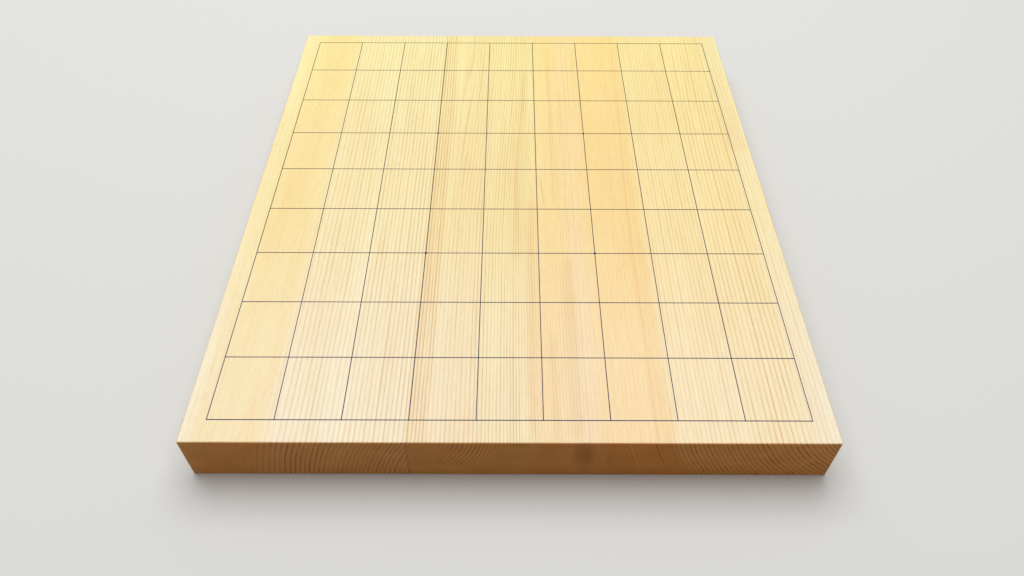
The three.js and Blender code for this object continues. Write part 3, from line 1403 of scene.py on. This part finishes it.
@dataclass
class DrawnGrid:
    """The drawing on the playing face: strokes of lacquer, and drops of it over four crossings.

    Attributes:
        lacquer: The finish of the strokes and star points.
        facets: The sides of a full stroke, of which half stand above the face.
        stations: How many times a stroke is cut along its length.
        drag: How far the hand has strayed to one side, in metres.
        drag_length: Over what length it strays.
        beading: How far the film swells and thins.
        bead_length: Over what length it does.
        file_share: How much of a stroke's full width the lengthwise ones have.
        nose_share: The length of a stroke's rounded end as a share of half its width.
        nose_steps: The steps in which an end is rounded.
        climb_share: How much of the lower stroke's height an upper one climbs.
        climb_shares: Where it climbs, as shares of half a width off the crossing, and how much of
            the climb is done there.
        slack_share: How nearly, as a share of half a width, a vertex has to lie there.
        drop_sides: The facets round a star point.
        drop_rings: Its rings from pole to pole.
        drop_shares: How much of the CAD drop's width, length and height it takes up, which leaves
            room for its unevenness.
        drop_beading: How much of the film's beading it has.
        sway: The clouds by which the strokes stray.
        bead: The clouds by which they swell.
        face: The height of the playing face, in metres.
        crest: The height of a stroke above it.
    """

    lacquer: LacquerFinish
    facets: int = 16
    stations: int = 240
    drag: float = 0.06 * MM
    drag_length: float = 45 * MM
    beading: float = 0.02 * MM
    bead_length: float = 3 * MM
    file_share: float = 0.86
    nose_share: float = 0.8
    nose_steps: int = 4
    climb_share: float = 0.6
    climb_shares: tuple[tuple[float, float], ...] = ((1.3, 0.08), (1.0, 0.3), (0.6, 0.8), (0.25, 1.0))
    slack_share: float = 0.05
    drop_sides: int = 32
    drop_rings: int = 20
    drop_shares: tuple[float, float, float] = (0.97, 0.97, 0.93)
    drop_beading: float = 0.6
    sway: bpy.types.Texture = field(init=False)
    bead: bpy.types.Texture = field(init=False)
    face: float = field(init=False)
    crest: float = field(init=False)

    def __post_init__(self) -> None:
        """Makes the clouds and takes the strokes' heights from the CAD model."""
        self.sway = clouds("hand_sway", self.drag_length)
        self.bead = clouds("beading", self.bead_length)
        self.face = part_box("stave_left")[1].z
        self.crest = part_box("rank_line_1")[1].z - self.face

    def build(self) -> None:
        """Models every stroke and star point, and dresses them."""
        material = self.lacquer.build()
        ranks = self.numbered("rank_line")
        crossings = [self.middle(name).y for name in ranks]
        strokes = ((Run.RANK, ranks, []), (Run.FILE, self.numbered("file_line"), crossings))
        for run, names, climbs in strokes:
            first = self.stroke(names[0], run, climbs)
            start = self.middle(names[0])
            for name in names:
                piece = copy_of(first, name.replace("line", "stroke"))
                piece.location = self.middle(name) - start
                settle(piece)
                self.lay_by_hand(piece, run)
                finish_piece(piece, name, material)
            bpy.data.objects.remove(first)
        for name in self.numbered("star_point"):
            finish_piece(self.star(name), name, material)

    def numbered(self, start: str) -> list[str]:
        """Lists the CAD nodes whose names start alike, in the order of their numbers."""
        names = [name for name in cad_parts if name.startswith(start)]
        return sorted(names, key=lambda name: (len(name), name))

    def middle(self, node: str) -> Vector:
        """Gives the middle of a CAD node's footprint on the playing face."""
        low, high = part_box(node)
        return Vector(((low.x + high.x) / 2, (low.y + high.y) / 2, self.face))

    def stroke(self, node: str, run: Run, climbs: list[float]) -> bpy.types.Object:
        """Models one stroke: the upper half of a flattened rod, with rounded ends.

        Args:
            node: The CAD node that gives its place and size.
            run: Which way it runs.
            climbs: Where, along Y, it climbs over another stroke.

        Returns:
            The stroke.
        """
        low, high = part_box(node)
        middle = self.middle(node)
        axis = run.value
        turn = (0.0, math.pi / 2, 0.0) if run is Run.RANK else (math.pi / 2, 0.0, 0.0)
        full_half = (high[1 - axis] - low[1 - axis]) / 2
        half_width = full_half if run is Run.RANK else full_half * self.file_share
        nose = half_width * self.nose_share
        length = high[axis] - low[axis] - 2 * nose
        deselect_all()
        bpy.ops.mesh.primitive_cylinder_add(
            vertices=self.facets, radius=half_width, depth=length, location=middle, rotation=turn
        )
        piece = bpy.context.object
        settle(piece)
        self.halve(piece, middle, (1.0, 1.0, self.crest / half_width))
        self.round_ends(piece, axis, middle, length / 2, nose)
        pick(piece, Kind.EDGES, lambda ends: (ends[0] - ends[1]).length > length / 2)
        bpy.ops.mesh.subdivide(number_cuts=self.stations)
        for place in climbs:
            self.climb(piece, place, full_half)
        bpy.ops.object.mode_set(mode="OBJECT")
        return piece

    def halve(self, piece: bpy.types.Object, middle: Vector, scale: tuple[float, float, float]) -> None:
        """Flattens a rod or ball about its middle and cuts its lower half away, in edit mode.

        Args:
            piece: The piece.
            middle: Its middle, on the playing face.
            scale: What is left of its size along each axis.
        """
        open_for_edit(piece)
        bpy.ops.mesh.select_all(action="SELECT")
        bpy.ops.transform.resize(value=scale, center_override=middle)
        cut_away(middle, (0.0, 0.0, -1.0))

    def round_ends(
        self, piece: bpy.types.Object, axis: int, middle: Vector, reach: float, nose: float
    ) -> None:
        """Rounds both ends of a stroke by drawing its end faces out in narrowing steps.

        Args:
            piece: The stroke, in edit mode.
            axis: 0 where it runs along X and 1 along Y.
            middle: The middle of the stroke, on the playing face.
            reach: How far its end faces stand from the middle.
            nose: How far the rounded ends go past them.
        """
        # The last step stops half a step short of the tip, so that a small face closes it.
        step_angle = math.pi / 2 / (self.nose_steps + 0.5)
        for side in (-1.0, 1.0):
            end = middle[axis] + side * reach
            pick(piece, Kind.FACES, lambda corners: all(abs(c[axis] - end) < FINE for c in corners))
            for step in range(self.nose_steps):
                before, after = step * step_angle, (step + 1) * step_angle
                forward = Vector((0.0, 0.0, 0.0))
                forward[axis] = side * nose * (math.sin(after) - math.sin(before))
                bpy.ops.mesh.extrude_region_move(TRANSFORM_OT_translate={"value": forward})
                scale = [math.cos(after) / math.cos(before)] * 3
                scale[axis] = 1.0
                bpy.ops.transform.resize(value=scale, center_override=middle)

    def climb(self, piece: bpy.types.Object, place: float, half_width: float) -> None:
        """Lifts a stroke over one that it crosses.

        Args:
            piece: The stroke, in edit mode.
            place: Where the crossed stroke's middle is, along Y.
            half_width: Half of the crossed stroke's width.
        """
        shares = [share for share, _ in self.climb_shares]
        for share in (*(-share for share in shares), *reversed(shares)):
            bpy.ops.mesh.select_all(action="SELECT")
            cut = (0.0, place + share * half_width, 0.0)
            bpy.ops.mesh.bisect(plane_co=cut, plane_no=(0.0, 1.0, 0.0), threshold=FINE)
        slack = self.slack_share * half_width
        for share, lift in self.climb_shares:
            off = share * half_width
            pick(piece, Kind.VERTICES, lambda found: (
                found[0].z > self.face + FINE and abs(abs(found[0].y - place) - off) < slack
            ))
            bpy.ops.transform.translate(value=(0.0, 0.0, lift * self.climb_share * self.crest))

    def lay_by_hand(self, piece: bpy.types.Object, run: Run) -> None:
        """Lets a stroke stray a little to the sides and swell and thin, as lacquer laid by hand does.

        Args:
            piece: The stroke.
            run: Which way it runs.
        """
        film = group_of(piece, "film", lambda place: place.z > self.face - FINE)
        crown = group_of(piece, "crown", lambda place: place.z > self.face + FINE)
        sideways = "XY"[1 - run.value]
        uneven(piece, self.sway, self.drag, film, sideways)
        uneven(piece, self.bead, self.beading, film, sideways)
        uneven(piece, self.bead, self.beading, crown, "Z")
        smooth(piece)

    def star(self, node: str) -> bpy.types.Object:
        """Models one star point: a drop of lacquer, domed and a little uneven.

        Args:
            node: The CAD node that gives its place and size.

        Returns:
            The star point.
        """
        low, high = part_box(node)
        middle = self.middle(node)
        radius = (high.x - low.x) / 2
        deselect_all()
        bpy.ops.mesh.primitive_uv_sphere_add(
            segments=self.drop_sides, ring_count=self.drop_rings, radius=radius, location=middle
        )
        piece = bpy.context.object
        piece.name = node.replace("point", "drop")
        settle(piece)
        wide, deep, tall = self.drop_shares
        self.halve(piece, middle, (wide, deep, tall * (high.z - self.face) / radius))
        bpy.ops.object.mode_set(mode="OBJECT")
        crown = group_of(piece, "crown", lambda place: place.z > self.face + FINE)
        for direction in ("Z", "X"):
            uneven(piece, self.bead, self.drop_beading * self.beading, crown, direction)
        smooth(piece)
        return piece


@dataclass
class Studio:
    """The floor, the lights and the camera.

    Attributes:
        floor_shown: The floor's colour as the camera sees it.
        floor_lit: The level of the light that the floor throws back.
        floor_size: The length of its sides, in metres.
        floor_drop: How far it lies below the board, so that the two don't share a plane.
        fade: How the floor turns into the backdrop, in metres from its middle.
        sky: The level of the light from all round.
        light_place: Where the soft light hangs, in metres. It faces the board.
        light_size: Its length and width.
        light_power: Its power in watts.
        focal_pixels: The camera's focal length, in pixels of the photograph's frame.
        elevation: How far the camera looks down, in degrees.
        azimuth: How far it stands to the right, in degrees.
        roll: How far it is turned about its axis, in degrees.
        distance: How far it stands from its target, in metres.
        target: What it looks at, in metres.
        shift_pixels: How far the lens is shifted, in pixels of the photograph's frame.
    """

    floor_shown: Colour = srgb(226, 226, 224)
    floor_lit: float = 0.35
    floor_size: float = 30.0
    floor_drop: float = 0.1 * MM
    fade: Change = Change(0.45, 1.6)
    sky: float = 0.36
    light_place: tuple[float, float, float] = (-0.1, 0.66, 2.1)
    light_size: tuple[float, float] = (2.4, 1.8)
    light_power: float = 41.0
    focal_pixels: float = 800.4
    elevation: float = 44.88
    azimuth: float = -0.13
    roll: float = 0.27
    distance: float = 0.5439
    target: tuple[float, float, float] = (0.0010, 0.0057, 0.015)
    shift_pixels: float = 85.0

    def build(self) -> None:
        """Sets up everything round the board."""
        bpy.context.scene.view_settings.view_transform = "Standard"
        self.lay_floor()
        self.light_sky()
        self.hang_light()
        self.set_camera()

    def seen(self, graph: Graph) -> Socket:
        """Tells the rays that show the background from those that light the board.

        Args:
            graph: The nodes of the floor or the world.

        Returns:
            1 for camera, glossy and transmission rays, and 0 for the rest.
        """
        rays = graph.add("LightPath").outputs
        mirrored = graph.math("MAXIMUM", rays["Is Glossy Ray"], rays["Is Transmission Ray"])
        return graph.math("MAXIMUM", rays["Is Camera Ray"], mirrored)

    def lay_floor(self) -> None:
        """Lays the pale floor that the board stands on."""
        deselect_all()
        bpy.ops.mesh.primitive_plane_add(size=self.floor_size, location=(0.0, 0.0, -self.floor_drop))
        floor = bpy.context.object
        floor.name = "floor"
        material = bpy.data.materials.new("pale_floor")
        graph = Graph(material)
        seen = self.seen(graph)
        lit = graph.add("BsdfDiffuse", graph.mix(seen, (self.floor_lit,) * 3, self.floor_shown))
        backdrop = graph.add("Emission", self.floor_shown)
        away = graph.length(graph.add("TexCoord").outputs["Object"])
        share = graph.math("MULTIPLY", graph.ease(away, self.fade), seen)
        graph.surface(graph.add("MixShader", share, lit.outputs[0], backdrop.outputs[0]).outputs[0])
        floor.data.materials.append(material)

    def light_sky(self) -> None:
        """Lights the board softly from all round, before a pale backdrop."""
        world = bpy.data.worlds.new("studio")
        bpy.context.scene.world = world
        graph = Graph(world)
        background = graph.add("Background", graph.mix(self.seen(graph), (self.sky,) * 3, self.floor_shown))
        graph.surface(background.outputs[0], "OutputWorld")

    def hang_light(self) -> None:
        """Hangs one large soft light above the board, a little behind it."""
        deselect_all()
        bpy.ops.object.light_add(type="AREA", location=self.light_place)
        light = bpy.context.object
        light.name = "soft_light"
        light.data.shape = "RECTANGLE"
        light.data.size, light.data.size_y = self.light_size
        light.data.energy = self.light_power
        light.rotation_euler = (-Vector(self.light_place)).to_track_quat("-Z", "Y").to_euler()

    def set_camera(self) -> None:
        """Stands the camera where the photograph was taken from."""
        elevation = math.radians(self.elevation)
        azimuth = math.radians(self.azimuth)
        roll = math.radians(self.roll)
        level = Vector((math.cos(azimuth), math.sin(azimuth), 0.0))
        back = Vector((
            math.sin(azimuth) * math.cos(elevation),
            -math.cos(azimuth) * math.cos(elevation),
            math.sin(elevation),
        ))
        upright = back.cross(level)
        right = math.cos(roll) * level + math.sin(roll) * upright
        top = -math.sin(roll) * level + math.cos(roll) * upright
        data = bpy.data.cameras.new("camera")
        data.lens = self.focal_pixels / PHOTO_WIDTH * data.sensor_width
        data.shift_y = -self.shift_pixels / PHOTO_WIDTH
        camera = bpy.data.objects.new("camera", data)
        bpy.context.scene.collection.objects.link(camera)
        turn = Matrix((right, top, back)).transposed().to_4x4()
        camera.matrix_world = Matrix.Translation(Vector(self.target) + self.distance * back) @ turn
        bpy.context.scene.camera = camera
        log.info("the camera looks down by %.1f degrees", self.elevation)


def main() -> None:
    """Builds the board and the studio in order."""
    logging.basicConfig(level=logging.INFO, format="%(name)s: %(message)s")
    Slab(SpruceFinish(), GlueFinish()).build()
    DrawnGrid(LacquerFinish()).build()
    Studio().build()


if __name__ == "__main__":
    main()
